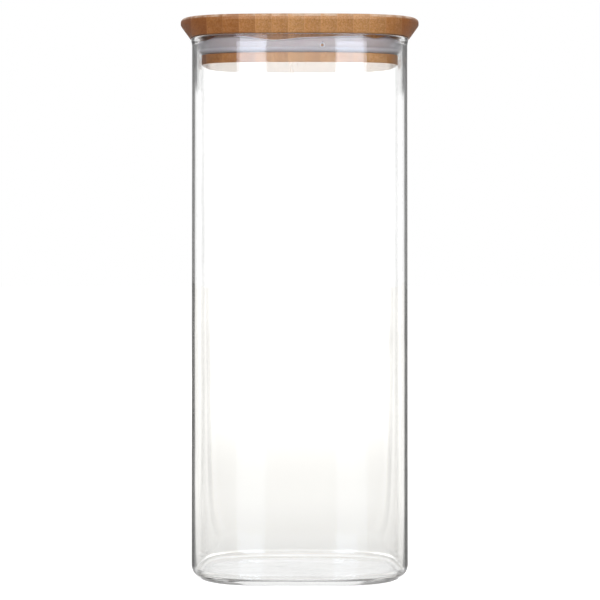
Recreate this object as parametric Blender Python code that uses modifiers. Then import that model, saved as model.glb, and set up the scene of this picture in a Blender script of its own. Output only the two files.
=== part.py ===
"""Square glass canister with a bamboo lid: jar, laminated lid block and silicone seal.

Blender 4.5, metres, +Z up. The origin is the middle of the jar's base, and -Y is the front.
Every piece has the same soft square plan: a turned shape whose circles become superellipses.
"""

import math

import bmesh
import bpy

# Plan shape, the same for every piece
PLAN_EXPONENT = 3.3
AROUND_STEPS = 96
MERGE_DISTANCE = 0.00001
SHARP_DEGREES = 35

# Glass jar
JAR_HEIGHT = 0.2466
JAR_MOUTH_WIDTH = 0.0988
JAR_FLARE = 0.0005
WALL_THICKNESS = 0.0022
BASE_THICKNESS = 0.0030
HEEL_RADIUS = 0.0065
INNER_HEEL_RADIUS = 0.0022
BEAD_PROUD = 0.0004
BEAD_FADE = 0.0030
RIM_ROUND = 0.0005
RIM_ARC_STEPS = 3
BEAD_FADE_STEPS = 3
HEEL_ARC_STEPS = 6

# Bamboo lid block
RIM_CLEARANCE = 0.0003
FLANGE_OVERHANG = 0.0050
FLANGE_THICKNESS = 0.0082
FLANGE_TAPER = 0.0038
FLANGE_TOP_ROUND = 0.0014
FLANGE_BAND = 0.0010
FLANGE_LOW_ROUND = 0.0008
EDGE_ARC_STEPS = 3
GROOVE_HEIGHT = 0.0086
GROOVE_DEPTH = 0.0028
BOARD_THICKNESS = 0.0042
BOARD_CLEARANCE = 0.0018
BOARD_ARRIS = 0.0003
WHOLE_STRIPS = 11
FIRST_STRIP_SHARE = 0.55
LAST_STRIP_SHARE = 0.97

# Silicone seal
SEAL_GLASS_CLEARANCE = 0.0003
SEAL_WOOD_CLEARANCE = 0.0003
SEAL_TOP_GAP = 0.0005
SEAL_WALL = 0.0010
SEAL_TOP_ROUND = 0.0018
SEAL_FOOT_ROUND = 0.0033
SEAL_ARC_STEPS = 4
VENT_DIAMETER = 0.0011
VENT_OFFSET = 0.0100
VENT_STEPS = 12

# Every cutter and trimming box runs past the piece that it meets by this much
OVERRUN = 0.0040

# Heights and half widths that follow
FLANGE_BOTTOM = JAR_HEIGHT + RIM_CLEARANCE
LID_TOP = FLANGE_BOTTOM + FLANGE_THICKNESS
BOARD_TOP = FLANGE_BOTTOM - GROOVE_HEIGHT
BOARD_BOTTOM = BOARD_TOP - BOARD_THICKNESS
MOUTH_HALF = JAR_MOUTH_WIDTH / 2
BASE_HALF = MOUTH_HALF + JAR_FLARE
MOUTH_INNER_HALF = MOUTH_HALF - WALL_THICKNESS
BASE_INNER_HALF = BASE_HALF - WALL_THICKNESS
FLANGE_HALF = MOUTH_HALF + FLANGE_OVERHANG
BOARD_HALF = MOUTH_INNER_HALF - BOARD_CLEARANCE
GROOVE_HALF = BOARD_HALF - GROOVE_DEPTH
SEAL_HALF = MOUTH_INNER_HALF - SEAL_GLASS_CLEARANCE
SEAL_FOOT_HALF = GROOVE_HALF + SEAL_WOOD_CLEARANCE
SEAL_TOP = FLANGE_BOTTOM - SEAL_TOP_GAP
SEAL_BOTTOM = BOARD_TOP + SEAL_WOOD_CLEARANCE
VENT_HEIGHT = (SEAL_TOP + SEAL_BOTTOM) / 2 - SEAL_WALL

# Surface values
GLASS_COLOR = (0.95, 0.965, 0.955, 1.0)
GLASS_ROUGHNESS = 0.02
GLASS_IOR = 1.47
GLASS_TRANSMISSION = 1.0
BAMBOO_COLOR = (0.47, 0.245, 0.11, 1.0)
BAMBOO_ROUGHNESS = 0.5
BAMBOO_TONE_SHARES = (0.78, 0.90, 0.80, 0.97, 0.92, 1.06, 1.0, 1.1, 1.04, 1.12, 0.98, 1.05, 0.93, 0.88, 0.8)
SILICONE_COLOR = (0.70, 0.69, 0.75, 1.0)
SILICONE_ROUGHNESS = 0.38
SILICONE_TRANSMISSION = 0.35


def clear_scene():
    """Removes whatever the file starts with."""
    for obj in list(bpy.data.objects):
        bpy.data.objects.remove(obj, do_unlink=True)


def new_collection(name):
    """Makes a collection in the scene."""
    collection = bpy.data.collections.new(name)
    bpy.context.scene.collection.children.link(collection)
    return collection


def new_material(name, color, roughness, transmission=0.0):
    """Makes a Principled material for one piece."""
    material = bpy.data.materials.new(name)
    material.use_nodes = True
    shader = material.node_tree.nodes["Principled BSDF"]
    shader.inputs["Base Color"].default_value = color
    shader.inputs["Metallic"].default_value = 0.0
    shader.inputs["Roughness"].default_value = roughness
    shader.inputs["Transmission Weight"].default_value = transmission
    material.diffuse_color = color
    return material


def plan_stretch(angle):
    """How much further out the soft square lies than its inscribed circle, in one direction."""
    across = abs(math.cos(angle)) ** PLAN_EXPONENT + abs(math.sin(angle)) ** PLAN_EXPONENT
    return across ** (-1 / PLAN_EXPONENT)


def soften_to_square(mesh):
    """Moves each point of a turned mesh out, so that its circles become soft squares."""
    for vertex in mesh.vertices:
        stretch = plan_stretch(math.atan2(vertex.co.y, vertex.co.x))
        vertex.co.x *= stretch
        vertex.co.y *= stretch


def arc(center, radius, start, end, steps):
    """Points on an arc in the profile plane, from one angle in degrees to another, ends included."""
    points = []
    for step in range(steps + 1):
        angle = math.radians(start + (end - start) * step / steps)
        half = center[0] + radius * math.cos(angle)
        height = center[1] + radius * math.sin(angle)
        points.append((half, height))
    return points


def profile_object(name, profile, closed):
    """Makes an object of loose edges from points given as (half width, height)."""
    mesh = bpy.data.meshes.new(name)
    shape = bmesh.new()
    corners = [shape.verts.new((half, 0, height)) for half, height in profile]
    for first, second in zip(corners, corners[1:]):
        shape.edges.new((first, second))
    if closed:
        shape.edges.new((corners[-1], corners[0]))
    shape.to_mesh(mesh)
    shape.free()
    return bpy.data.objects.new(name, mesh)


def turned_soft_square(name, profile, collection, closed=False):
    """Turns a profile about Z with a Screw modifier, then softens its circles to the plan shape."""
    turning = profile_object(name + "_profile", profile, closed)
    collection.objects.link(turning)
    screw = turning.modifiers.new("turn", "SCREW")
    screw.steps = AROUND_STEPS
    screw.render_steps = AROUND_STEPS
    screw.use_merge_vertices = True
    screw.merge_threshold = MERGE_DISTANCE
    graph = bpy.context.evaluated_depsgraph_get()
    mesh = bpy.data.meshes.new_from_object(turning.evaluated_get(graph))
    bpy.data.objects.remove(turning, do_unlink=True)
    mesh.name = name
    soften_to_square(mesh)
    mesh.shade_smooth()
    mesh.set_sharp_from_angle(angle=math.radians(SHARP_DEGREES))
    piece = bpy.data.objects.new(name, mesh)
    collection.objects.link(piece)
    return piece


def make_helper(piece):
    """Marks an object as a cutter or guide, which no render shows."""
    piece.hide_render = True
    piece.display_type = "WIRE"


def jar_profile():
    """Outer wall from the rim down to the middle of the base, then the inner wall back up to the rim."""
    rim_low = JAR_HEIGHT - RIM_ROUND
    points = arc((MOUTH_HALF + BEAD_PROUD - RIM_ROUND, rim_low), RIM_ROUND, 90, 0, RIM_ARC_STEPS)
    for step in range(1, BEAD_FADE_STEPS + 1):
        share = step / BEAD_FADE_STEPS
        proud = BEAD_PROUD * (1 + math.cos(math.pi * share)) / 2
        points.append((MOUTH_HALF + proud, rim_low - BEAD_FADE * share))
    points += arc((BASE_HALF - HEEL_RADIUS, HEEL_RADIUS), HEEL_RADIUS, 0, -90, HEEL_ARC_STEPS)
    points.append((0, 0))
    points.append((0, BASE_THICKNESS))
    heel_center = (BASE_INNER_HALF - INNER_HEEL_RADIUS, BASE_THICKNESS + INNER_HEEL_RADIUS)
    points += arc(heel_center, INNER_HEEL_RADIUS, -90, 0, HEEL_ARC_STEPS)
    points += arc((MOUTH_INNER_HALF + RIM_ROUND, rim_low), RIM_ROUND, 180, 90, RIM_ARC_STEPS)
    return points


def make_jar(parts):
    """One glass jar: a closed turned shape whose profile runs from the rim round to the rim."""
    jar = turned_soft_square("glass_jar", jar_profile(), parts, closed=True)
    glass = new_material("glass", GLASS_COLOR, GLASS_ROUGHNESS, GLASS_TRANSMISSION)
    glass.node_tree.nodes["Principled BSDF"].inputs["IOR"].default_value = GLASS_IOR
    jar.data.materials.append(glass)
    return jar


def lid_block_profile():
    """The whole lid block from the middle of its top, round the flange and groove, to the middle below."""
    round_center = (FLANGE_HALF - FLANGE_TOP_ROUND, LID_TOP - FLANGE_TOP_ROUND)
    band_bottom = round_center[1] - FLANGE_BAND
    slope = math.degrees(math.atan2(FLANGE_TAPER, band_bottom - FLANGE_BOTTOM))
    low_center = (FLANGE_HALF - FLANGE_TAPER - FLANGE_LOW_ROUND, FLANGE_BOTTOM + FLANGE_LOW_ROUND)
    points = [(0, LID_TOP)]
    points += arc(round_center, FLANGE_TOP_ROUND, 90, 0, EDGE_ARC_STEPS)
    points.append((FLANGE_HALF, band_bottom))
    points += arc(low_center, FLANGE_LOW_ROUND, -slope, -90, EDGE_ARC_STEPS)
    points += [
        (GROOVE_HALF, FLANGE_BOTTOM),
        (GROOVE_HALF, BOARD_TOP),
        (BOARD_HALF, BOARD_TOP),
        (BOARD_HALF, BOARD_BOTTOM + BOARD_ARRIS),
        (BOARD_HALF - BOARD_ARRIS, BOARD_BOTTOM),
        (0, BOARD_BOTTOM),
    ]
    return points


def box_between(name, low, high, collection):
    """A box from its low corner to its high corner, so that neighbours share the same plane exactly."""
    shape = bmesh.new()
    bmesh.ops.create_cube(shape, size=1.0)
    for vertex in shape.verts:
        for axis in range(3):
            vertex.co[axis] = high[axis] if vertex.co[axis] > 0 else low[axis]
    mesh = bpy.data.meshes.new(name)
    shape.to_mesh(mesh)
    shape.free()
    box = bpy.data.objects.new(name, mesh)
    collection.objects.link(box)
    return box


def strip_edges():
    """The seam planes across the lid, laid out from the plug board.

    The board holds a row of whole strips and a share of one more at each side. Both shares are
    wider than the groove is deep, so that every strip of the board also passes through the core.
    The outermost two strips are flange alone, and the block's edge trims them.
    """
    pitch = 2 * BOARD_HALF / (WHOLE_STRIPS + FIRST_STRIP_SHARE + LAST_STRIP_SHARE)
    first = FIRST_STRIP_SHARE * pitch - BOARD_HALF
    inner = [first + pitch * index for index in range(-1, WHOLE_STRIPS + 2)]
    return [-FLANGE_HALF - OVERRUN] + inner + [FLANGE_HALF + OVERRUN]


def make_lid_strips(parts, cutters, handle):
    """The glued strips of the lid: each is a slice of the lid block between two seams."""
    block = turned_soft_square("lid_block_outline", lid_block_profile(), cutters)
    make_helper(block)
    seams = strip_edges()
    reach = FLANGE_HALF + OVERRUN
    for index in range(len(seams) - 1):
        name = f"bamboo_strip_{index + 1:02d}"
        low = (seams[index], -reach, BOARD_BOTTOM - OVERRUN)
        high = (seams[index + 1], reach, LID_TOP + OVERRUN)
        strip = box_between(name, low, high, parts)
        trim = strip.modifiers.new("trim_to_block", "BOOLEAN")
        trim.operation = "INTERSECT"
        trim.solver = "EXACT"
        trim.object = block
        tone = BAMBOO_TONE_SHARES[index % len(BAMBOO_TONE_SHARES)]
        color = tuple(channel * tone for channel in BAMBOO_COLOR[:3]) + (1.0,)
        strip.data.materials.append(new_material(name, color, BAMBOO_ROUGHNESS))
        strip.parent = handle


def seal_profile():
    """The seal's outer bulge from its top foot to its bottom foot, then back along the inside of its wall."""
    top_center = (SEAL_HALF - SEAL_TOP_ROUND, SEAL_TOP - SEAL_TOP_ROUND)
    foot_center = (SEAL_HALF - SEAL_FOOT_ROUND, SEAL_BOTTOM + SEAL_FOOT_ROUND)
    points = [(SEAL_FOOT_HALF, SEAL_TOP)]
    points += arc(top_center, SEAL_TOP_ROUND, 90, 0, SEAL_ARC_STEPS)
    points += arc(foot_center, SEAL_FOOT_ROUND, 0, -90, SEAL_ARC_STEPS)
    points += [(SEAL_FOOT_HALF, SEAL_BOTTOM), (SEAL_FOOT_HALF, SEAL_BOTTOM + SEAL_WALL)]
    points += arc(foot_center, SEAL_FOOT_ROUND - SEAL_WALL, -90, 0, SEAL_ARC_STEPS)
    points += arc(top_center, SEAL_TOP_ROUND - SEAL_WALL, 0, 90, SEAL_ARC_STEPS)
    points.append((SEAL_FOOT_HALF, SEAL_TOP - SEAL_WALL))
    return points


def make_vent_cutter(cutters):
    """A round pin through the seal's front wall."""
    shape = bmesh.new()
    bmesh.ops.create_cone(
        shape,
        cap_ends=True,
        segments=VENT_STEPS,
        radius1=VENT_DIAMETER / 2,
        radius2=VENT_DIAMETER / 2,
        depth=SEAL_WALL + 2 * OVERRUN,
    )
    mesh = bpy.data.meshes.new("vent_cutter")
    shape.to_mesh(mesh)
    shape.free()
    cutter = bpy.data.objects.new("vent_cutter", mesh)
    cutter.location = (VENT_OFFSET, -SEAL_HALF, VENT_HEIGHT)
    cutter.rotation_euler = (math.radians(90), 0, 0)
    cutters.objects.link(cutter)
    make_helper(cutter)
    return cutter


def make_seal(parts, cutters, handle):
    """The silicone ring: a thin arched wall, open at its back, with one vent hole at the front."""
    seal = turned_soft_square("silicone_seal", seal_profile(), parts, closed=True)
    vent = seal.modifiers.new("vent_hole", "BOOLEAN")
    vent.operation = "DIFFERENCE"
    vent.solver = "EXACT"
    vent.object = make_vent_cutter(cutters)
    silicone = new_material("silicone", SILICONE_COLOR, SILICONE_ROUGHNESS, SILICONE_TRANSMISSION)
    seal.data.materials.append(silicone)
    seal.parent = handle
    return seal


def make_lid_handle(parts):
    """An empty on the canister's axis, which carries the lid as it lifts straight up."""
    handle = bpy.data.objects.new("lid_lift", None)
    handle.empty_display_size = FLANGE_HALF
    parts.objects.link(handle)
    return handle


def build():
    """Builds the canister at rest, with its lid seated."""
    clear_scene()
    parts = new_collection("glass_canister")
    cutters = new_collection("canister_cutters")
    make_jar(parts)
    handle = make_lid_handle(parts)
    make_lid_strips(parts, cutters, handle)
    make_seal(parts, cutters, handle)


build()
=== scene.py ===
"""Looks of the square glass canister with its bamboo lid: fine meshes, finishes, floor, light and camera.

Metres, +Z up, -Y is the front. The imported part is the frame: its sizes come from there, and every fine
piece stands exactly where its node stands.
"""

import math

import bmesh
import bpy
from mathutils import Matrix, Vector, noise


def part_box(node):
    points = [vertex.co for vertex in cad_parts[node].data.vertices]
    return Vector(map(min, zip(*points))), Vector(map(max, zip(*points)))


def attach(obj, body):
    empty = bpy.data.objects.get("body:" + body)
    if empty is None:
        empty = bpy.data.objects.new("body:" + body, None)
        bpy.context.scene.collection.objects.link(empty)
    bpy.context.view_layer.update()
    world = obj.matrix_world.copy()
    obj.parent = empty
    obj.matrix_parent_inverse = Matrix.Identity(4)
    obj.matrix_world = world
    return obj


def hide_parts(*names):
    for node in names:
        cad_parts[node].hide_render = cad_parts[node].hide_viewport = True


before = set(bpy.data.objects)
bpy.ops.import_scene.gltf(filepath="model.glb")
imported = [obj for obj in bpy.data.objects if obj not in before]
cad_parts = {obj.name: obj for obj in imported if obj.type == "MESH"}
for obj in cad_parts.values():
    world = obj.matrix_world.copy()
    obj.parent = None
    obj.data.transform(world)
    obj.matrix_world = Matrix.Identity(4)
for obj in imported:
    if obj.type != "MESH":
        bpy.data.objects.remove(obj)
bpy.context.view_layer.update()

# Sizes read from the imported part
JAR_LOW, JAR_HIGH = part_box("glass_jar")
SEAL_LOW, SEAL_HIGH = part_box("silicone_seal")
STRIP_NAMES = sorted(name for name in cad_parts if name.startswith("bamboo_strip_"))
STRIP_BOXES = [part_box(name) for name in STRIP_NAMES]
JAR_HEIGHT = JAR_HIGH.z
BASE_HALF = JAR_HIGH.x
FLANGE_HALF = max(high.x for low, high in STRIP_BOXES)
LID_TOP = max(high.z for low, high in STRIP_BOXES)
BOARD_BOTTOM = min(low.z for low, high in STRIP_BOXES)
FLANGE_BOTTOM = STRIP_BOXES[0][0].z
SEAL_HALF = SEAL_HIGH.x
SEAL_TOP = SEAL_HIGH.z
SEAL_BOTTOM = SEAL_LOW.z

# The soft square of every plan section, a superellipse, and how finely it is drawn
PLAN_EXPONENT = 3.3
AROUND_STEPS = 384
SHARP_DEGREES = 35

# Glass jar: the sizes that its box doesn't tell
MOUTH_HALF = 0.0494
WALL_THICKNESS = 0.0022
BASE_THICKNESS = 0.0030
HEEL_RADIUS = 0.0065
INNER_HEEL_RADIUS = 0.0022
INNER_HEEL_STEPS = 12
BEAD_PROUD = 0.0004
BEAD_FADE = 0.0030
RIM_ROUND = 0.0005
RIM_ARC_STEPS = 8
BEAD_FADE_STEPS = 10
HEEL_ARC_STEPS = 20
WALL_MARGIN = 0.0006
FLOOR_RINGS = 26
FLOOR_RIPPLE = 0.00004
FLOOR_RIPPLE_LENGTH = 0.016

# Bamboo lid block, likewise
FLANGE_TAPER = 0.0038
FLANGE_TOP_ROUND = 0.0014
FLANGE_BAND = 0.0010
FLANGE_LOW_ROUND = 0.0008
EDGE_ARC_STEPS = 8
BOARD_THICKNESS = 0.0042
BOARD_HALF = 0.0454
BOARD_ARRIS = 0.0003
GROOVE_HALF = 0.0426

# Silicone seal, likewise
SEAL_FOOT_HALF = 0.0429
SEAL_WALL = 0.0010
SEAL_TOP_ROUND = 0.0018
SEAL_FOOT_ROUND = 0.0033
SEAL_ARC_STEPS = 12
SEAL_LIP_WAVE = 0.0005
SEAL_LIP_WAVE_LENGTH = 0.013
# Between these distances in front of the middle, the lip's waver gives way to its dips
SEAL_LIP_FRONT = (0.02, 0.04)
# Each dip of the lip at the front: its place along X, its reach and its depth
SEAL_LIP_DIPS = (
    (-0.0430, 0.0035, 0.0016),
    (-0.0120, 0.0100, 0.0019),
    (0.0060, 0.0180, 0.0008),
    (0.0330, 0.0030, 0.0008),
)
VENT_DIAMETER = 0.0013
VENT_OFFSET = 0.0100
VENT_HEIGHT = 0.2415
VENT_STEPS = 32
VENT_RING_RADIUS = 0.00096
VENT_RING_THICKNESS = 0.00020
VENT_RING_SIDES = 10

# Camera, fitted to the outlines of the lid, the jar and its base, and the longest light path in the glass
CAMERA_DISTANCE = 1.295
CAMERA_HEIGHT = 0.162
SENSOR_WIDTH = 36.0
FRAME_PIXELS = 600
FOCAL_PIXELS = 2804
CENTRE_COLUMN = 299.7
CAMERA_TILT_DEGREES = 1.550
LONGEST_PATH = 24


def plan_stretch(angle):
    """How much further out the soft square lies than its inscribed circle, in one direction."""
    across = abs(math.cos(angle)) ** PLAN_EXPONENT + abs(math.sin(angle)) ** PLAN_EXPONENT
    return across ** (-1 / PLAN_EXPONENT)


def arc(center, radius, start, end, steps):
    """Points on an arc in the profile plane, from one angle in degrees to another, ends included."""
    points = []
    for step in range(steps + 1):
        angle = math.radians(start + (end - start) * step / steps)
        points.append((center[0] + radius * math.cos(angle), center[1] + radius * math.sin(angle)))
    return points


def smooth_step(value, low, high):
    """0 below low, 1 above high, and a smooth rise between."""
    share = min(1.0, max(0.0, (value - low) / (high - low)))
    return share * share * (3 - 2 * share)


def scaled(shares, size, start=0.0):
    """Shares of a size, counted from a start."""
    return tuple(start + size * share for share in shares)


def turned_shape(profile, closed):
    """A bmesh of the profile's points (half width, height) turned about Z on the soft square plan."""
    shape = bmesh.new()
    angles = [2 * math.pi * step / AROUND_STEPS for step in range(AROUND_STEPS)]
    rings = []
    for half, height in profile:
        if half < 1e-9:
            rings.append([shape.verts.new((0, 0, height))])
            continue
        ring = []
        for angle in angles:
            reach = half * plan_stretch(angle)
            ring.append(shape.verts.new((reach * math.cos(angle), reach * math.sin(angle), height)))
        rings.append(ring)
    pairs = list(zip(rings, rings[1:]))
    if closed:
        pairs.append((rings[-1], rings[0]))
    for upper, lower in pairs:
        if len(upper) == 1 and len(lower) == 1:
            continue
        for step in range(AROUND_STEPS):
            following = (step + 1) % AROUND_STEPS
            corners = []
            for ring, place in ((upper, step), (lower, step), (lower, following), (upper, following)):
                corner = ring[place % len(ring)]
                if corner not in corners:
                    corners.append(corner)
            shape.faces.new(corners)
    bmesh.ops.recalc_face_normals(shape, faces=shape.faces[:])
    return shape


def piece_from(name, shape, sharp=True):
    """Makes an object of a bmesh, shaded smooth apart from its sharp edges."""
    mesh = bpy.data.meshes.new(name)
    shape.to_mesh(mesh)
    shape.free()
    mesh.shade_smooth()
    if sharp:
        mesh.set_sharp_from_angle(angle=math.radians(SHARP_DEGREES))
    piece = bpy.data.objects.new(name, mesh)
    bpy.context.scene.collection.objects.link(piece)
    return piece


# Shader helpers
def add_node(tree, kind, inputs, **settings):
    """Adds a node, sets its settings, and links or sets each named input."""
    made = tree.nodes.new(kind)
    for key, value in settings.items():
        setattr(made, key, value)
    for key, value in inputs.items():
        if isinstance(value, bpy.types.NodeSocket):
            tree.links.new(value, made.inputs[key])
        else:
            made.inputs[key].default_value = value
    return made


def calc(tree, operation, first, second=0.0, clamp=False):
    """One Math node."""
    made = add_node(tree, "ShaderNodeMath", {0: first, 1: second}, operation=operation, use_clamp=clamp)
    return made.outputs[0]


def rise(tree, value, low, high, bottom=0.0, top=1.0):
    """A smooth rise from bottom to top as value goes from low to high."""
    made = add_node(
        tree,
        "ShaderNodeMapRange",
        {"Value": value, "From Min": low, "From Max": high, "To Min": bottom, "To Max": top},
        interpolation_type="SMOOTHSTEP",
    )
    return made.outputs["Result"]


def blend_colors(tree, factor, first, second, blend_type="MIX"):
    """Mixes two colours."""
    made = add_node(
        tree,
        "ShaderNodeMix",
        {0: factor, 6: first, 7: second},
        data_type="RGBA",
        blend_type=blend_type,
    )
    return made.outputs[2]


def blend_numbers(tree, factor, first, second):
    """Mixes two numbers."""
    made = add_node(tree, "ShaderNodeMix", {0: factor, 2: first, 3: second}, data_type="FLOAT")
    return made.outputs[0]


def stretched(tree, vector, scale, shift=(0.0, 0.0, 0.0)):
    """A vector times a scale, plus a shift."""
    made = add_node(
        tree,
        "ShaderNodeVectorMath",
        {0: vector, 1: scale, 2: shift},
        operation="MULTIPLY_ADD",
    )
    return made.outputs[0]


def noise_value(tree, vector, scale, detail=2.0, roughness=0.5):
    """A Noise texture's value."""
    made = add_node(
        tree,
        "ShaderNodeTexNoise",
        {"Vector": vector, "Scale": scale, "Detail": detail, "Roughness": roughness},
    )
    return made.outputs["Fac"]


def new_material(name):
    """A material with its node tree, its Principled shader and its output."""
    material = bpy.data.materials.new(name)
    material.use_nodes = True
    tree = material.node_tree
    return material, tree, tree.nodes["Principled BSDF"], tree.nodes["Material Output"]


# Glass
GLASS_IOR = 1.47
GLASS_ROUGHNESS = 0.0
GLASS_TINT = (0.995, 0.997, 0.995, 1.0)
GLASS_SHADOW = (0.69, 0.69, 0.69, 1.0)
# The outside's steep edges are painted darker by how steeply they are seen: painted shade standing in for the dark
# room that they mirror and refract
GLASS_EDGE_PAINTED_SHADE = (0.74, 0.72, 0.69, 1.0)
EDGE_FACING = (0.74, 0.86)
GLASS_WAVE_SCALE = 28.0
GLASS_WAVE_STRENGTH = 0.06
GLASS_WAVE_DEPTH = 0.002
# The heel's corners, painted dark where they are seen steeply, a painted shade standing in for the dark
# surroundings seen in the thick glass: shares of the base's half width and of the heel's radius, and how steeply
# they are seen
HEEL_PAINTED_SHADE = (0.42, 0.41, 0.39, 1.0)
CORNER_ALONG = (0.48, 0.72)
CORNER_HEIGHT = (2.2, 1.0)
CORNER_FACING = (0.45, 0.70)
# The foot of the heel's straight sides, in the same shares
HEEL_CLEAR_SHARE = 0.90
STRAIGHT_ALONG = (0.80, 0.66)
FOOT_HEIGHT = (0.55, 0.25)
FOOT_FROM_EDGE = (1.0, 0.7)
# A painted dark line round the jar's floor, painted shade standing in for the refraction in the inner heel, in
# shares of the inner heel's radius above the floor
FLOOR_LINE_PAINTED_SHADE = (0.83, 0.82, 0.81, 1.0)
FLOOR_LINE_START = (0.15, 0.3)
FLOOR_LINE_END = (1.2, 0.9)


def heel_masks(tree, coords, facing):
    """Where the heel rounds a corner of the jar and is seen steeply, which is painted dark, and where its foot is
    straight.
    """
    place = add_node(tree, "ShaderNodeSeparateXYZ", {0: coords})
    height = place.outputs["Z"]
    across, back = (calc(tree, "ABSOLUTE", place.outputs[axis]) for axis in ("X", "Y"))
    along = calc(tree, "MINIMUM", across, back)
    near_corner = rise(tree, along, *scaled(CORNER_ALONG, BASE_HALF))
    near_base = rise(tree, height, *scaled(CORNER_HEIGHT, HEEL_RADIUS))
    round_corner = calc(tree, "MULTIPLY", near_corner, near_base)
    corner = calc(tree, "MULTIPLY", round_corner, rise(tree, facing, *CORNER_FACING))
    off_corner = rise(tree, along, *scaled(STRAIGHT_ALONG, BASE_HALF))
    at_foot = rise(tree, height, *scaled(FOOT_HEIGHT, HEEL_RADIUS))
    straight = calc(tree, "MULTIPLY", off_corner, at_foot)
    outermost = calc(tree, "MAXIMUM", across, back)
    out = rise(tree, outermost, *scaled(FOOT_FROM_EDGE, -HEEL_RADIUS, BASE_HALF))
    return corner, calc(tree, "MULTIPLY", straight, out)


def painted_floor_line(tree, coords):
    """The tint of the inside, with a faint painted dark line where the jar's floor starts to curve up into its
    walls.
    """
    height = add_node(tree, "ShaderNodeSeparateXYZ", {0: coords}).outputs["Z"]
    above = rise(tree, height, *scaled(FLOOR_LINE_START, INNER_HEEL_RADIUS, BASE_THICKNESS))
    below = rise(tree, height, *scaled(FLOOR_LINE_END, INNER_HEEL_RADIUS, BASE_THICKNESS))
    return blend_colors(tree, calc(tree, "MULTIPLY", above, below), GLASS_TINT, FLOOR_LINE_PAINTED_SHADE)


def outside_surface(tree, shader, coords):
    """Paints shade on the steep edges and the heel's corners, and lets light straight through the heel's straight
    foot.
    """
    facing = add_node(tree, "ShaderNodeLayerWeight", {"Blend": 0.5}).outputs["Facing"]
    corner, straight = heel_masks(tree, coords, facing)
    # Painted shade on the steep edges, then on the heel's corners
    tint = blend_colors(tree, rise(tree, facing, *EDGE_FACING), GLASS_TINT, GLASS_EDGE_PAINTED_SHADE)
    tree.links.new(blend_colors(tree, corner, tint, HEEL_PAINTED_SHADE), shader.inputs["Base Color"])
    clear = add_node(tree, "ShaderNodeBsdfTransparent", {"Color": GLASS_TINT})
    share = calc(tree, "MULTIPLY", straight, HEEL_CLEAR_SHARE)
    return add_node(tree, "ShaderNodeMixShader", {0: share, 1: shader.outputs[0], 2: clear.outputs[0]})


def cast_light_shadow(tree, output, surface, shadow):
    """Ends a material whose surface lets the light of lamps through, dimmed to a shadow's colour."""
    path = add_node(tree, "ShaderNodeLightPath", {})
    clear = add_node(tree, "ShaderNodeBsdfTransparent", {"Color": shadow})
    mixed = add_node(
        tree,
        "ShaderNodeMixShader",
        {0: path.outputs["Is Shadow Ray"], 1: surface.outputs[0], 2: clear.outputs[0]},
    )
    tree.links.new(mixed.outputs[0], output.inputs["Surface"])


def glass_material(name, is_outside):
    """Clear glass. Lamps reach what stands inside it, and its steep edges are painted darker, a painted shade
    standing in for the dark room that they mirror and refract.
    """
    material, tree, shader, output = new_material(name)
    shader.inputs["Roughness"].default_value = GLASS_ROUGHNESS
    shader.inputs["IOR"].default_value = GLASS_IOR
    shader.inputs["Transmission Weight"].default_value = 1.0
    coords = add_node(tree, "ShaderNodeTexCoord", {}).outputs["Object"]
    wave = noise_value(tree, coords, GLASS_WAVE_SCALE, 2.0, 0.4)
    bump = add_node(
        tree,
        "ShaderNodeBump",
        {"Strength": GLASS_WAVE_STRENGTH, "Distance": GLASS_WAVE_DEPTH, "Height": wave},
    )
    tree.links.new(bump.outputs["Normal"], shader.inputs["Normal"])
    surface = shader
    if is_outside:
        surface = outside_surface(tree, shader, coords)
    else:
        tree.links.new(painted_floor_line(tree, coords), shader.inputs["Base Color"])
    cast_light_shadow(tree, output, surface, GLASS_SHADOW)
    return material


def straight_run(start, end):
    """Points just inside both ends of a straight stretch, so that the roundings beside it don't shade it."""
    length = math.dist(start, end)
    points = []
    for share in (WALL_MARGIN / length, 1 - WALL_MARGIN / length):
        points.append(tuple(first + (last - first) * share for first, last in zip(start, end)))
    return points


def jar_profile():
    """From the rim down the outer wall to the middle of the base, then back up the inner wall to the rim."""
    mouth_inner = MOUTH_HALF - WALL_THICKNESS
    base_inner = BASE_HALF - WALL_THICKNESS
    rim_low = JAR_HEIGHT - RIM_ROUND
    points = arc((MOUTH_HALF + BEAD_PROUD - RIM_ROUND, rim_low), RIM_ROUND, 90, 0, RIM_ARC_STEPS)
    for step in range(1, BEAD_FADE_STEPS + 1):
        share = step / BEAD_FADE_STEPS
        proud = BEAD_PROUD * (1 + math.cos(math.pi * share)) / 2
        points.append((MOUTH_HALF + proud, rim_low - BEAD_FADE * share))
    heel = arc((BASE_HALF - HEEL_RADIUS, HEEL_RADIUS), HEEL_RADIUS, 0, -90, HEEL_ARC_STEPS)
    points += straight_run(points[-1], heel[0]) + heel
    points += straight_run(heel[-1], (0, 0))[:1] + [(0, 0)]
    floor_half = base_inner - INNER_HEEL_RADIUS
    for ring in range(FLOOR_RINGS):
        points.append((floor_half * ring / FLOOR_RINGS, BASE_THICKNESS))
    heel_center = (floor_half, BASE_THICKNESS + INNER_HEEL_RADIUS)
    points += arc(heel_center, INNER_HEEL_RADIUS, -90, 0, INNER_HEEL_STEPS)
    rim = arc((mouth_inner + RIM_ROUND, rim_low), RIM_ROUND, 180, 90, RIM_ARC_STEPS)
    points += straight_run(points[-1], rim[0]) + rim
    return points


def ripple_floor(shape):
    """Gives the inside of the base the faint unevenness of pressed glass."""
    top = BASE_THICKNESS + HEEL_RADIUS
    for vertex in shape.verts:
        height = vertex.co.z
        if height < BASE_THICKNESS - FLOOR_RIPPLE or height > top:
            continue
        if max(abs(vertex.co.x), abs(vertex.co.y)) > BASE_HALF - WALL_THICKNESS / 2:
            continue
        fade = 1 - smooth_step(height, BASE_THICKNESS + WALL_THICKNESS, top)
        flat = Vector((vertex.co.x, vertex.co.y, 0)) / FLOOR_RIPPLE_LENGTH
        vertex.co.z += FLOOR_RIPPLE * fade * noise.noise(flat)


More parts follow.
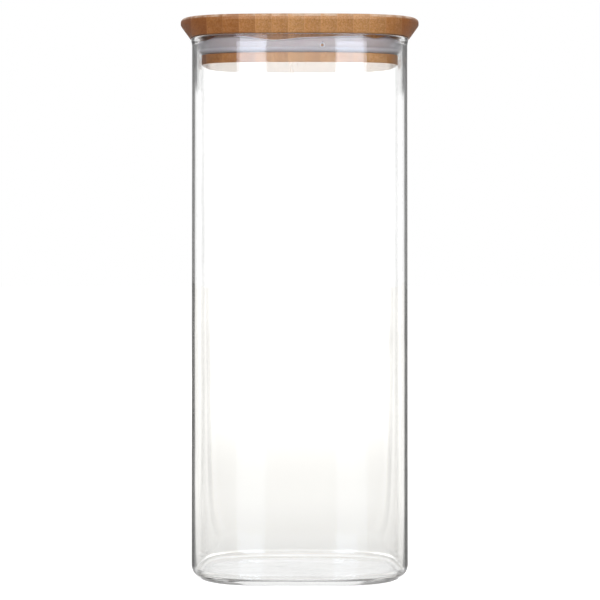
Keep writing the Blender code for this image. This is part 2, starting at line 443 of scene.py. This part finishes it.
def is_inside(middle):
    """Whether the middle of a face of the jar lies on its inside, not on its outside or its rim."""
    half = (abs(middle.x) ** PLAN_EXPONENT + abs(middle.y) ** PLAN_EXPONENT) ** (1 / PLAN_EXPONENT)
    mid_wall = MOUTH_HALF - WALL_THICKNESS / 2
    mid_wall += (BASE_HALF - MOUTH_HALF) * (1 - middle.z / JAR_HEIGHT)
    if half >= mid_wall or not BASE_THICKNESS / 2 < middle.z < JAR_HEIGHT - RIM_ROUND:
        return False
    if middle.z >= HEEL_RADIUS or half <= BASE_HALF - HEEL_RADIUS:
        return True
    from_center = math.hypot(half - (BASE_HALF - HEEL_RADIUS), middle.z - HEEL_RADIUS)
    return from_center < HEEL_RADIUS - WALL_THICKNESS / 4


def make_jar():
    """The fine glass jar, with one finish outside and one inside."""
    shape = turned_shape(jar_profile(), closed=True)
    for face in shape.faces:
        face.material_index = 1 if is_inside(face.calc_center_median()) else 0
    ripple_floor(shape)
    jar = piece_from("fine_glass_jar", shape, sharp=False)
    jar.data.materials.append(glass_material("glass_outside", True))
    jar.data.materials.append(glass_material("glass_inside", False))
    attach(jar, "jar")
    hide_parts("glass_jar")
    return jar


# Bamboo
BAMBOO_COLOR = (0.530, 0.260, 0.094)
BAMBOO_ROUGHNESS = (0.40, 0.54)
BAMBOO_SPECULAR = 0.27
BAMBOO_RELIEF = 0.22
BAMBOO_RELIEF_DEPTH = 0.00008
# Each strip's brightness from left to right: its own tone, and painted shade that darkens the strips towards both
# ends of the lid, where less light falls; and how strongly red, green and blue follow it
STRIP_TONE_AND_SHADE_SHARES = (0.52, 0.59, 0.70, 0.70, 0.81, 0.94, 0.93, 1.01, 0.95, 0.97, 0.94, 0.99, 0.94, 0.79, 0.60)
TONE_POWERS = (1.0, 1.70, 2.7)
STRIP_FADE = 0.07
# How far one strip's grain is moved from the next one's
STRIP_SHIFT = (7.31, 3.7, 5.13)
FIBRE_SCALE = (1150.0, 14.0, 1150.0)
FINE_FIBRE_SCALE = (2000.0, 60.0, 2000.0)
BUNDLE_SCALE = (1450.0, 9.0, 1450.0)
PALE_FIBRES = (0.42, 0.62)
# Pale fibres are this much brighter, and lifted towards grey by this much on a strip of full tone
PALE_SHARE = 1.12
PALE_LIFT = (0.020, 0.038, 0.044)
DARK_FIBRES = (0.45, 0.75)
DARK_FIBRE_SHARE = 0.45
DARK_SHARES = (0.57, 0.50, 0.42)
DOT_EDGE = (0.34, 0.12)
DOT_SHARE = 0.70
GLUE_LINE = 0.00032
GLUE_SHARE = 0.75
# A painted highlight, pale in patches, on the rounding along the lid's upper edge: how far its faces look up, and
# its patches
TOP_ROUND_HIGHLIGHT_COLOR = (0.80, 0.62, 0.48, 1.0)
HIGHLIGHT_FROM_SIDE = (0.06, 0.25)
HIGHLIGHT_FROM_TOP = (0.995, 0.95)
HIGHLIGHT_PATCH_SCALE = (95.0, 95.0, 95.0)
HIGHLIGHT_PATCHES = (0.42, 0.62)
HIGHLIGHT_SHARES = (0.15, 0.65)
# The plug's underside is polished and plainer than the rest, and painted paler: painted light from the white table
# below it, which it also mirrors. Its look sets in this far above its bottom
UNDERSIDE_FADE = (0.00004, 0.00001)
UNDERSIDE_PAINTED_LIGHT_SHARE = 2.3
UNDERSIDE_PLAIN_SHARE = 0.85
UNDERSIDE_ROUGHNESS = 0.05
# The strips that a joint of the cane crosses, and where, as a share of the way from the middle to the back
GROWTH_RING_SHARES = {2: 0.42, 5: -0.55, 8: 0.12, 11: -0.2, 13: 0.63}
GROWTH_RING_WIDTH = 0.0011
GROWTH_RING_SHARE = 0.55
RING_WOBBLE = 0.0016
RING_WOBBLE_SCALE = (420.0, 0.0, 420.0)


def strip_colors(tone):
    """A strip's body colour and the darker and the paler colour of its fibres, for its tone."""
    body = [channel * tone ** power for channel, power in zip(BAMBOO_COLOR, TONE_POWERS)]
    dark = [channel * share for channel, share in zip(body, DARK_SHARES)]
    pale = [channel * PALE_SHARE + lift * tone * tone for channel, lift in zip(body, PALE_LIFT)]
    return tuple((*color, 1.0) for color in (body, dark, pale))


def strip_grain(tree, coords, shift, colors):
    """A strip's colour with its fibres, the pattern of the fibres and the dots that they end in."""
    body, dark, pale = colors
    fibre = noise_value(tree, stretched(tree, coords, FIBRE_SCALE, shift), 1.0, 3.0, 0.55)
    fine = noise_value(tree, stretched(tree, coords, FINE_FIBRE_SCALE, shift), 1.0, 2.0, 0.6)
    bundles = add_node(
        tree,
        "ShaderNodeTexVoronoi",
        {"Vector": stretched(tree, coords, BUNDLE_SCALE, shift), "Scale": 1.0},
    ).outputs["Distance"]
    dots = rise(tree, bundles, *DOT_EDGE)
    darker = calc(tree, "MULTIPLY", rise(tree, fine, *DARK_FIBRES), DARK_FIBRE_SHARE)
    color = blend_colors(tree, rise(tree, fibre, *PALE_FIBRES), body, pale)
    color = blend_colors(tree, darker, color, dark)
    color = blend_colors(tree, calc(tree, "MULTIPLY", dots, DOT_SHARE), color, dark)
    return color, fibre, dots


def glue_mask(tree, across, low, high):
    """The thin glue lines along a strip's two long edges."""
    from_low = calc(tree, "SUBTRACT", across, low.x)
    from_high = calc(tree, "SUBTRACT", high.x, across)
    edge = calc(tree, "MINIMUM", from_low, from_high)
    return rise(tree, edge, GLUE_LINE, GLUE_LINE * 0.2, 0.0, GLUE_SHARE)


def painted_highlight_mask(tree, coords, shift):
    """The patches of painted highlight on the rounding along the lid's upper edge."""
    normal = add_node(tree, "ShaderNodeNewGeometry", {}).outputs["True Normal"]
    upward = add_node(tree, "ShaderNodeSeparateXYZ", {0: normal}).outputs["Z"]
    from_side = rise(tree, upward, *HIGHLIGHT_FROM_SIDE)
    rounding = calc(tree, "MULTIPLY", from_side, rise(tree, upward, *HIGHLIGHT_FROM_TOP))
    patches = noise_value(tree, stretched(tree, coords, HIGHLIGHT_PATCH_SCALE, shift), 1.0, 4.0, 0.7)
    return calc(tree, "MULTIPLY", rounding, rise(tree, patches, *HIGHLIGHT_PATCHES, *HIGHLIGHT_SHARES))


def growth_ring_mask(tree, coords, shift, back, share):
    """The faint uneven line that a joint of the cane leaves across a strip."""
    wobble = noise_value(tree, stretched(tree, coords, RING_WOBBLE_SCALE, shift), 1.0, 2.0, 0.5)
    start = -share * FLANGE_HALF - RING_WOBBLE / 2
    bent = add_node(
        tree, "ShaderNodeMath", {0: wobble, 1: RING_WOBBLE, 2: start}, operation="MULTIPLY_ADD"
    )
    away = calc(tree, "ABSOLUTE", calc(tree, "ADD", back, bent.outputs[0]))
    return rise(tree, away, GROWTH_RING_WIDTH, GROWTH_RING_WIDTH * 0.25, 0.0, GROWTH_RING_SHARE)


def bamboo_material(index, low, high):
    """One strip of bamboo whose fibres run along Y: dots at its ends, streaks along its other faces."""
    material, tree, shader, _ = new_material(f"bamboo_{index + 1:02d}")
    coords = add_node(tree, "ShaderNodeTexCoord", {}).outputs["Object"]
    across, back, height = add_node(tree, "ShaderNodeSeparateXYZ", {0: coords}).outputs
    shift = tuple(index * apart for apart in STRIP_SHIFT)
    # The strip's own tone, with painted shade on the strips towards the lid's ends
    body, dark, pale = strip_colors(STRIP_TONE_AND_SHADE_SHARES[index])
    color, fibre, dots = strip_grain(tree, coords, shift, (body, dark, pale))
    color = blend_colors(tree, glue_mask(tree, across, low, high), color, pale)
    # A painted highlight on the rounding along the lid's upper edge
    color = blend_colors(tree, painted_highlight_mask(tree, coords, shift), color, TOP_ROUND_HIGHLIGHT_COLOR)
    fade = rise(tree, across, low.x, high.x, 1 + STRIP_FADE, 1 - STRIP_FADE)
    below = rise(tree, height, *(BOARD_BOTTOM + above for above in UNDERSIDE_FADE))
    # Painted light: the underside's colour is brightened, standing in for the white table's light below it
    fade = calc(tree, "MULTIPLY", fade, rise(tree, below, 0.0, 1.0, 1.0, UNDERSIDE_PAINTED_LIGHT_SHARE))
    color = blend_colors(tree, calc(tree, "MULTIPLY", below, UNDERSIDE_PLAIN_SHARE), color, body)
    color = blend_colors(tree, 1.0, color, fade, "MULTIPLY")
    if index in GROWTH_RING_SHARES:
        ring = growth_ring_mask(tree, coords, shift, back, GROWTH_RING_SHARES[index])
        color = blend_colors(tree, ring, color, dark)
    tree.links.new(color, shader.inputs["Base Color"])
    roughness = rise(tree, fibre, 0.3, 0.7, *BAMBOO_ROUGHNESS)
    roughness = blend_numbers(tree, below, roughness, UNDERSIDE_ROUGHNESS)
    shader.inputs["Specular IOR Level"].default_value = BAMBOO_SPECULAR
    tree.links.new(roughness, shader.inputs["Roughness"])
    relief = calc(tree, "ADD", calc(tree, "MULTIPLY", fibre, 0.6), calc(tree, "MULTIPLY", dots, -0.5))
    bump = add_node(
        tree,
        "ShaderNodeBump",
        {"Strength": BAMBOO_RELIEF, "Distance": BAMBOO_RELIEF_DEPTH, "Height": relief},
    )
    tree.links.new(bump.outputs["Normal"], shader.inputs["Normal"])
    return material


def lid_block_profile():
    """The lid block from the middle of its top, round the flange and the groove, to the middle below."""
    round_center = (FLANGE_HALF - FLANGE_TOP_ROUND, LID_TOP - FLANGE_TOP_ROUND)
    band_bottom = round_center[1] - FLANGE_BAND
    slope = math.degrees(math.atan2(FLANGE_TAPER, band_bottom - FLANGE_BOTTOM))
    low_center = (FLANGE_HALF - FLANGE_TAPER - FLANGE_LOW_ROUND, FLANGE_BOTTOM + FLANGE_LOW_ROUND)
    points = [(0, LID_TOP)]
    points += arc(round_center, FLANGE_TOP_ROUND, 90, 0, EDGE_ARC_STEPS)
    points.append((FLANGE_HALF, band_bottom))
    points += arc(low_center, FLANGE_LOW_ROUND, -slope, -90, EDGE_ARC_STEPS)
    points += [
        (GROOVE_HALF, FLANGE_BOTTOM),
        (GROOVE_HALF, BOARD_BOTTOM + BOARD_THICKNESS),
        (BOARD_HALF, BOARD_BOTTOM + BOARD_THICKNESS),
        (BOARD_HALF, BOARD_BOTTOM + BOARD_ARRIS),
        (BOARD_HALF - BOARD_ARRIS, BOARD_BOTTOM),
        (0, BOARD_BOTTOM),
    ]
    return points


def slice_between(block, low_x, high_x):
    """A copy of the block between two upright planes, closed at its cuts."""
    piece = block.copy()
    for edge_x, facing in ((low_x, -1), (high_x, 1)):
        if abs(edge_x) > FLANGE_HALF - 1e-6:
            continue
        everything = piece.verts[:] + piece.edges[:] + piece.faces[:]
        cut = bmesh.ops.bisect_plane(
            piece,
            geom=everything,
            plane_co=(edge_x, 0, 0),
            plane_no=(facing, 0, 0),
            clear_outer=True,
        )
        rim = [item for item in cut["geom_cut"] if isinstance(item, bmesh.types.BMEdge)]
        bmesh.ops.holes_fill(piece, edges=rim)
    bmesh.ops.recalc_face_normals(piece, faces=piece.faces[:])
    return piece


def make_strips():
    """The lid's strips, each a slice of one fine block, with its own bamboo."""
    block = turned_shape(lid_block_profile(), closed=False)
    for index, (name, (low, high)) in enumerate(zip(STRIP_NAMES, STRIP_BOXES)):
        strip = piece_from("fine_" + name, slice_between(block, low.x, high.x))
        strip.data.materials.append(bamboo_material(index, low, high))
        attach(strip, "lid")
        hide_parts(name)
    block.free()


# Silicone
SILICONE_COLOR = (0.67, 0.635, 0.65, 1.0)
SILICONE_PALER_SHARE = 1.1
# The seal's foot is painted a little darker, painted shade on its downward rounding
SILICONE_FOOT_PAINTED_SHADE = (0.655, 0.625, 0.65, 1.0)
# Where the foot's look starts, below the middle of its rounding, and where it is full, above the seal's bottom
SILICONE_FOOT_START = 0.0004
SILICONE_FOOT_FULL = 0.0010
SILICONE_ROUGHNESS = (0.38, 0.48)
SILICONE_CLOUD_SCALE = 160.0
SILICONE_CLOUDS = (0.3, 0.7)
SILICONE_ALPHAS = (0.34, 0.70)
SILICONE_SHADOW = (0.94, 0.93, 0.94, 1.0)
# A pale line painted along the seal's upper edge, a painted highlight, and how far down from the top it reaches
SILICONE_LIP_HIGHLIGHT = (0.93, 0.90, 0.96, 1.0)
LIP_HIGHLIGHT_ATTRIBUTE = "lip"
LIP_HIGHLIGHT_LINE = 0.0009
VENT_RING_HIGHLIGHT = 0.7


def silicone_material():
    """Translucent satin silicone, pale lilac grey, with a painted highlight along its upper edge and painted shade
    at its foot. The wood behind it shows through, and lamps reach it.
    """
    material, tree, shader, output = new_material("silicone_satin")
    coords = add_node(tree, "ShaderNodeTexCoord", {}).outputs["Object"]
    cloud = noise_value(tree, coords, SILICONE_CLOUD_SCALE, 3.0, 0.5)
    paler = (*(channel * SILICONE_PALER_SHARE for channel in SILICONE_COLOR[:3]), 1.0)
    color = blend_colors(tree, rise(tree, cloud, *SILICONE_CLOUDS), SILICONE_COLOR, paler)
    height = add_node(tree, "ShaderNodeSeparateXYZ", {0: coords}).outputs["Z"]
    foot_start = SEAL_BOTTOM + SEAL_FOOT_ROUND - SILICONE_FOOT_START
    foot = rise(tree, height, foot_start, SEAL_BOTTOM + SILICONE_FOOT_FULL)
    # Painted shade on the seal's foot
    color = blend_colors(tree, foot, color, SILICONE_FOOT_PAINTED_SHADE)
    lip = add_node(tree, "ShaderNodeAttribute", {}, attribute_name=LIP_HIGHLIGHT_ATTRIBUTE).outputs["Fac"]
    # The painted highlight along the seal's upper edge
    color = blend_colors(tree, lip, color, SILICONE_LIP_HIGHLIGHT)
    tree.links.new(color, shader.inputs["Base Color"])
    shader.inputs["Subsurface Weight"].default_value = 0.5
    shader.inputs["Subsurface Radius"].default_value = (1.0, 0.9, 1.0)
    shader.inputs["Subsurface Scale"].default_value = 0.0015
    rough = rise(tree, cloud, *SILICONE_CLOUDS, *SILICONE_ROUGHNESS)
    tree.links.new(rough, shader.inputs["Roughness"])
    body = rise(tree, foot, 0.0, 1.0, *SILICONE_ALPHAS)
    tree.links.new(calc(tree, "MAXIMUM", body, lip), shader.inputs["Alpha"])
    cast_light_shadow(tree, output, shader, SILICONE_SHADOW)
    return material


def seal_profile():
    """The seal's outer bulge from its top foot to its bottom foot, then back along the inside of its wall."""
    top_center = (SEAL_HALF - SEAL_TOP_ROUND, SEAL_TOP - SEAL_TOP_ROUND)
    foot_center = (SEAL_HALF - SEAL_FOOT_ROUND, SEAL_BOTTOM + SEAL_FOOT_ROUND)
    points = [(SEAL_FOOT_HALF, SEAL_TOP)]
    points += arc(top_center, SEAL_TOP_ROUND, 90, 0, SEAL_ARC_STEPS)
    points += arc(foot_center, SEAL_FOOT_ROUND, 0, -90, SEAL_ARC_STEPS)
    points += [(SEAL_FOOT_HALF, SEAL_BOTTOM), (SEAL_FOOT_HALF, SEAL_BOTTOM + SEAL_WALL)]
    points += arc(foot_center, SEAL_FOOT_ROUND - SEAL_WALL, -90, 0, SEAL_ARC_STEPS)
    points += arc(top_center, SEAL_TOP_ROUND - SEAL_WALL, 0, 90, SEAL_ARC_STEPS)
    points.append((SEAL_FOOT_HALF, SEAL_TOP - SEAL_WALL))
    return points


def mark_lip_highlight(shape):
    """Marks the seal's upper edge, where its material paints a pale highlight."""
    lip = shape.verts.layers.float.new(LIP_HIGHLIGHT_ATTRIBUTE)
    for vertex in shape.verts:
        from_top = SEAL_TOP - vertex.co.z
        out = max(abs(vertex.co.x), abs(vertex.co.y)) > SEAL_FOOT_HALF
        vertex[lip] = (1 - smooth_step(from_top, LIP_HIGHLIGHT_LINE * 0.4, LIP_HIGHLIGHT_LINE)) * out


def sag_lip(shape):
    """Lets the seal's upper lip dip at the front and waver a little all round, as soft silicone does."""
    for vertex in shape.verts:
        weight = smooth_step(vertex.co.z, SEAL_BOTTOM + SEAL_FOOT_ROUND, SEAL_TOP)
        around = Vector((vertex.co.x, vertex.co.y, 0)) / SEAL_LIP_WAVE_LENGTH
        at_front = smooth_step(-vertex.co.y, *SEAL_LIP_FRONT)
        drop = SEAL_LIP_WAVE * max(0.0, noise.noise(around)) * (1 - at_front)
        for place, reach, depth in SEAL_LIP_DIPS:
            away = (vertex.co.x - place) / reach
            drop += depth * math.exp(-away * away) * at_front
        vertex.co.z -= drop * weight


def vent_place():
    """The vent's middle on the seal's outer face."""
    share = 1 - (VENT_OFFSET / SEAL_HALF) ** PLAN_EXPONENT
    return Vector((VENT_OFFSET, -SEAL_HALF * share ** (1 / PLAN_EXPONENT), VENT_HEIGHT))


def pierce_vent(seal):
    """Cuts the vent hole through the seal's front wall."""
    shape = bmesh.new()
    radius = VENT_DIAMETER / 2
    bmesh.ops.create_cone(
        shape, cap_ends=True, segments=VENT_STEPS, radius1=radius, radius2=radius, depth=SEAL_WALL * 6
    )
    cutter = piece_from("vent_cutter", shape)
    cutter.location = vent_place()
    cutter.rotation_euler = (math.radians(90), 0, 0)
    vent = seal.modifiers.new("vent_hole", "BOOLEAN")
    vent.operation = "DIFFERENCE"
    vent.solver = "EXACT"
    vent.object = cutter
    graph = bpy.context.evaluated_depsgraph_get()
    pierced = bpy.data.meshes.new_from_object(seal.evaluated_get(graph))
    seal.modifiers.clear()
    seal.data = pierced
    bpy.data.objects.remove(cutter, do_unlink=True)


def make_vent_ring(material):
    """The small raised ring moulded round the vent, painted with most of the lip's pale highlight."""
    shape = bmesh.new()
    lip = shape.verts.layers.float.new(LIP_HIGHLIGHT_ATTRIBUTE)
    sections = []
    for step in range(VENT_STEPS):
        turn = 2 * math.pi * step / VENT_STEPS
        section = []
        for side in range(VENT_RING_SIDES):
            angle = 2 * math.pi * side / VENT_RING_SIDES
            reach = VENT_RING_RADIUS + VENT_RING_THICKNESS * math.cos(angle)
            depth = VENT_RING_THICKNESS * math.sin(angle)
            vertex = shape.verts.new((reach * math.cos(turn), depth, reach * math.sin(turn)))
            # The ring is painted with the lip's pale highlight
            vertex[lip] = VENT_RING_HIGHLIGHT
            section.append(vertex)
        sections.append(section)
    for step, section in enumerate(sections):
        following = sections[(step + 1) % VENT_STEPS]
        for side in range(VENT_RING_SIDES):
            after = (side + 1) % VENT_RING_SIDES
            shape.faces.new((section[side], section[after], following[after], following[side]))
    bmesh.ops.recalc_face_normals(shape, faces=shape.faces[:])
    ring = piece_from("vent_ring", shape, sharp=False)
    ring.location = vent_place()
    ring.data.materials.append(material)
    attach(ring, "lid")


def make_seal():
    """The fine silicone seal with its vent."""
    shape = turned_shape(seal_profile(), closed=True)
    mark_lip_highlight(shape)
    sag_lip(shape)
    seal = piece_from("fine_silicone_seal", shape)
    pierce_vent(seal)
    material = silicone_material()
    seal.data.materials.clear()
    seal.data.materials.append(material)
    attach(seal, "lid")
    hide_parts("silicone_seal")
    make_vent_ring(material)


# Stage
FLOOR_RADIUS = 6.0
FLOOR_DROP = 0.0002
FLOOR_COLOR = (0.80, 0.79, 0.765, 1.0)
PURE_WHITE = (1.0, 1.0, 1.0, 1.0)
WARM_WHITE = (1.0, 0.985, 0.955, 1.0)
FLOOR_CAMERA_LIFT = 0.80
# How bright the floor glows through glass, by the distance from the canister's middle: darker near the canister, a
# painted shadow
FLOOR_THROUGH = ((0.045, 0.62), (0.085, 0.27), (0.40, 0.43), (1.30, 0.78), (4.00, 1.25))
WORLD_DIFFUSE = 0.32
WORLD_THROUGH = 1.70
# The jar's front corners. What its walls' edges mirror of the floor goes by the bearing from there
GLASS_EXIT = (BASE_HALF, -BASE_HALF * 0.8)
# What mirrors show, by the bearing from straight behind: backdrop, black flag, side wall, dark room, lit front
# Each ends between two bearings in degrees. The levels are for the room and for the floor
BACKDROP_END = (8.0, 12.0)
FLAG_END = (26.0, 34.0)
SIDES_END = (50.0, 64.0)
DARK_END = (125.0, 155.0)
ROOM_LEVELS = (1.0, 0.22, 0.95, 0.14, 0.22)
TABLE_LEVELS = (1.15, 0.08, 0.95, 0.15, 0.40)
# In mirrors the floor is painted dimmer than these levels close to the canister, a painted shadow, between these
# distances
TABLE_PAINTED_SHADOW = 0.72
TABLE_PAINTED_SHADOW_END = (0.10, 0.42)
# Above and below the eye level: elevations in degrees from and to, then the levels beyond them
ROOM_LAYERS = (
    ((2.7, 3.1), (1.0, 0.20, 0.25, 0.10, 0.22)),
    ((6.0, 10.0), (1.0, 0.95, 0.90, 0.20, 0.25)),
    ((14.0, 24.0), (1.0, 0.95, 0.90, 0.60, 2.20)),
    ((-10.0, -16.0), (0.70, 0.60, 0.20, 0.05, 0.60)),
)


def bearing_from_back(tree, vector, corner=(0.0, 0.0)):
    """The angle from straight behind in radians, seen from above, past a corner on the left or the right."""
    place = add_node(tree, "ShaderNodeSeparateXYZ", {0: vector})
    across = calc(tree, "SUBTRACT", calc(tree, "ABSOLUTE", place.outputs["X"]), corner[0])
    back = calc(tree, "SUBTRACT", place.outputs["Y"], corner[1])
    return calc(tree, "ARCTAN2", calc(tree, "MAXIMUM", across, 0.0), back)


def by_bearing(tree, bearing, levels):
    """The level that mirrors show at a bearing: each of them in turn, with soft edges between them."""
    level = levels[0]
    ends_in_turn = (BACKDROP_END, FLAG_END, SIDES_END, DARK_END)
    for ends, before, after in zip(ends_in_turn, levels, levels[1:]):
        low, high = (math.radians(angle) for angle in ends)
        level = calc(tree, "ADD", rise(tree, bearing, low, high, 0.0, after - before), level)
    return level


def mirrored_share(tree, path):
    """1 for a ray that a surface has mirrored on its way from the camera, otherwise 0."""
    mirrored = calc(tree, "GREATER_THAN", path.outputs["Glossy Depth"], 0.5)
    unspread = calc(tree, "LESS_THAN", path.outputs["Diffuse Depth"], 0.5)
    sharp = calc(tree, "MAXIMUM", path.outputs["Is Glossy Ray"], path.outputs["Is Transmission Ray"])
    return calc(tree, "MULTIPLY", calc(tree, "MULTIPLY", mirrored, unspread), sharp)


def straight_share(tree, path, mirrored):
    """1 for a ray that came from the camera through glass alone, otherwise 0."""
    unspread = calc(tree, "LESS_THAN", path.outputs["Diffuse Depth"], 0.5)
    passed = calc(tree, "MULTIPLY", path.outputs["Is Transmission Ray"], unspread)
    return calc(tree, "SUBTRACT", passed, mirrored, clamp=True)


def floor_material():
    """Pale floor. It shows white to the camera. Through the glass and in mirrors it glows, with a painted shadow
    near the canister.
    """
    material, tree, shader, output = new_material("pale_floor")
    shader.inputs["Base Color"].default_value = FLOOR_COLOR
    shader.inputs["Roughness"].default_value = 0.9
    shader.inputs["Specular IOR Level"].default_value = 0.0
    coords = add_node(tree, "ShaderNodeTexCoord", {}).outputs["Object"]
    away = add_node(tree, "ShaderNodeVectorMath", {0: coords}, operation="LENGTH").outputs["Value"]
    # The glow through glass, with a painted shadow near the canister
    lift = FLOOR_THROUGH[0][1]
    for (near, low), (far, high) in zip(FLOOR_THROUGH, FLOOR_THROUGH[1:]):
        lift = calc(tree, "ADD", rise(tree, away, near, far, 0.0, high - low), lift)
    path = add_node(tree, "ShaderNodeLightPath", {})
    mirrored = mirrored_share(tree, path)
    through = calc(tree, "MULTIPLY", straight_share(tree, path, mirrored), lift)
    shown = calc(tree, "MULTIPLY", path.outputs["Is Camera Ray"], FLOOR_CAMERA_LIFT)
    tint = blend_colors(tree, path.outputs["Is Camera Ray"], WARM_WHITE, PURE_WHITE)
    strength = calc(tree, "MAXIMUM", shown, through)
    glow = add_node(tree, "ShaderNodeEmission", {"Color": tint, "Strength": strength})
    both = add_node(tree, "ShaderNodeAddShader", {0: shader.outputs[0], 1: glow.outputs[0]})
    level = by_bearing(tree, bearing_from_back(tree, coords, GLASS_EXIT), TABLE_LEVELS)
    # A painted shadow near the canister, in mirrors
    level = calc(tree, "MULTIPLY", level, rise(tree, away, *TABLE_PAINTED_SHADOW_END, TABLE_PAINTED_SHADOW, 1.0))
    room = add_node(tree, "ShaderNodeEmission", {"Color": WARM_WHITE, "Strength": level})
    seen = add_node(tree, "ShaderNodeMixShader", {0: mirrored, 1: both.outputs[0], 2: room.outputs[0]})
    tree.links.new(seen.outputs[0], output.inputs["Surface"])
    return material


def make_floor():
    """A plain round floor just under the base. Reflections pass it by, so the softboxes mirror down to the base."""
    shape = bmesh.new()
    bmesh.ops.create_circle(shape, cap_ends=True, segments=96, radius=FLOOR_RADIUS)
    floor = piece_from("floor", shape)
    floor.location.z = JAR_LOW.z - FLOOR_DROP
    floor.visible_glossy = False
    floor.data.materials.append(floor_material())


def make_world():
    """White to the camera and through glass, a dimmer room in mirrors, and a soft even light otherwise."""
    world = bpy.data.worlds.new("soft_studio")
    world.use_nodes = True
    tree = world.node_tree
    background = tree.nodes["Background"]
    path = add_node(tree, "ShaderNodeLightPath", {})
    direction = add_node(tree, "ShaderNodeTexCoord", {}).outputs["Generated"]
    mirrored = mirrored_share(tree, path)
    straight = straight_share(tree, path, mirrored)
    plain = rise(tree, path.outputs["Is Camera Ray"], 0.0, 1.0, WORLD_DIFFUSE, 1.0)
    passed = rise(tree, straight, 0.0, 1.0, 0.0, WORLD_THROUGH)
    strength = calc(tree, "MAXIMUM", plain, passed)
    kept = calc(tree, "MULTIPLY", strength, calc(tree, "SUBTRACT", 1.0, mirrored))
    bearing = bearing_from_back(tree, direction)
    height = add_node(tree, "ShaderNodeSeparateXYZ", {0: direction}).outputs["Z"]
    level = by_bearing(tree, bearing, ROOM_LEVELS)
    for degrees, levels in ROOM_LAYERS:
        share = rise(tree, height, *(math.sin(math.radians(angle)) for angle in degrees))
        level = blend_numbers(tree, share, level, by_bearing(tree, bearing, levels))
    room = calc(tree, "MULTIPLY", level, mirrored)
    background.inputs["Color"].default_value = PURE_WHITE
    tree.links.new(calc(tree, "ADD", kept, room), background.inputs["Strength"])
    bpy.context.scene.world = world


def make_lamp(name, place, target, width, height, radiance, color, mirror_only):
    """A rectangular softbox that faces its target. It either shows only in gloss, or only lights."""
    data = bpy.data.lights.new(name, "AREA")
    data.shape = "RECTANGLE"
    data.size = width
    data.size_y = height
    data.energy = radiance * math.pi * width * height
    data.color = color
    lamp = bpy.data.objects.new(name, data)
    lamp.location = place
    lamp.rotation_euler = (Vector(target) - Vector(place)).to_track_quat("-Z", "Y").to_euler()
    lamp.visible_camera = False
    lamp.visible_transmission = mirror_only
    lamp.visible_diffuse = not mirror_only
    lamp.visible_glossy = mirror_only
    bpy.context.scene.collection.objects.link(lamp)


# The softboxes' distance, the lowest height at which the jar's front mirrors them, and their lower and upper edge
CARD_DISTANCE = 1.1
LOWEST_GLINT = 0.0155
CARD_LOW_DEGREES = -6.7
CARD_HIGH_DEGREES = 40.0
# Bearings from the front in degrees, from and to, the elevation where the upper part begins, and the radiance
# of the upper and the lower part
CARDS = {
    "left_softbox": (-34.9, -8.7, 8.0, 6.2, 1.3),
    "front_wall": (-8.7, 10.5, 8.2, 1.05, 0.08),
    "right_softbox": (10.5, 40.6, 8.0, 6.2, 1.3),
}
CARD_COLOR = (0.76, 0.86, 1.0)
# The lamps that only light: place, width, height and radiance
LAMPS = {
    "key_left": ((-0.64, -1.48, 0.20), 1.1, 0.36, 5.2),
    "key_right": ((0.72, -1.44, 0.20), 1.1, 0.36, 5.2),
    "fill_back": ((0.6, 1.9, 1.2), 1.2, 1.2, 2.0),
    "top": ((0.0, 0.0, 1.8), 1.2, 1.2, 2.8),
}
LAMP_COLOR = (1.0, 1.0, 1.0)


def make_cards():
    """Upright softboxes that only show in the glass and the gloss, each in a lower and an upper part."""
    middle_height = JAR_HEIGHT / 2
    lowest = LOWEST_GLINT + (CARD_DISTANCE - MOUTH_HALF) * math.tan(math.radians(CARD_LOW_DEGREES))
    highest = middle_height + CARD_DISTANCE * math.tan(math.radians(CARD_HIGH_DEGREES))
    for name, (first, last, split, above, below) in CARDS.items():
        bearing = math.radians((first + last) / 2)
        width = 2 * CARD_DISTANCE * math.tan(math.radians((last - first) / 2))
        middle = middle_height + CARD_DISTANCE * math.tan(math.radians(split))
        for part, low, high, radiance in (("low", lowest, middle, below), ("high", middle, highest, above)):
            place = Vector((math.sin(bearing), -math.cos(bearing), 0)) * CARD_DISTANCE
            place.z = (low + high) / 2
            aim = (0, 0, place.z)
            make_lamp(f"{name}_{part}", place, aim, width, high - low, radiance, CARD_COLOR, True)


def make_lamps():
    """Two keys from the front, a fill from behind and one above, aimed at the middle of the jar."""
    aim = (0, 0, JAR_HEIGHT / 2)
    for name, (place, width, height, radiance) in LAMPS.items():
        make_lamp(name, place, aim, width, height, radiance, LAMP_COLOR, False)


def make_camera():
    """The photograph's view: far off, a little above the middle of the jar and tilted slightly down."""
    data = bpy.data.cameras.new("camera")
    data.sensor_width = SENSOR_WIDTH
    data.lens = SENSOR_WIDTH * FOCAL_PIXELS / FRAME_PIXELS
    data.shift_x = (FRAME_PIXELS / 2 - CENTRE_COLUMN) / FRAME_PIXELS
    camera = bpy.data.objects.new("camera", data)
    camera.location = (0, -CAMERA_DISTANCE, CAMERA_HEIGHT)
    camera.rotation_euler = (math.radians(90 - CAMERA_TILT_DEGREES), 0, 0)
    bpy.context.scene.collection.objects.link(camera)
    bpy.context.scene.camera = camera


def allow_long_light_paths():
    """Lets light run on inside the thick glass of the base, where it is mirrored many times."""
    light_paths = bpy.context.scene.cycles
    light_paths.max_bounces = LONGEST_PATH
    light_paths.glossy_bounces = LONGEST_PATH
    light_paths.transmission_bounces = LONGEST_PATH
    light_paths.transparent_max_bounces = LONGEST_PATH


def corners(box):
    """A box as plain lists."""
    return [list(corner) for corner in box]


make_camera()
make_jar()
make_strips()
make_seal()
make_floor()
make_world()
make_cards()
make_lamps()
bpy.context.scene.view_settings.view_transform = "Standard"
allow_long_light_paths()
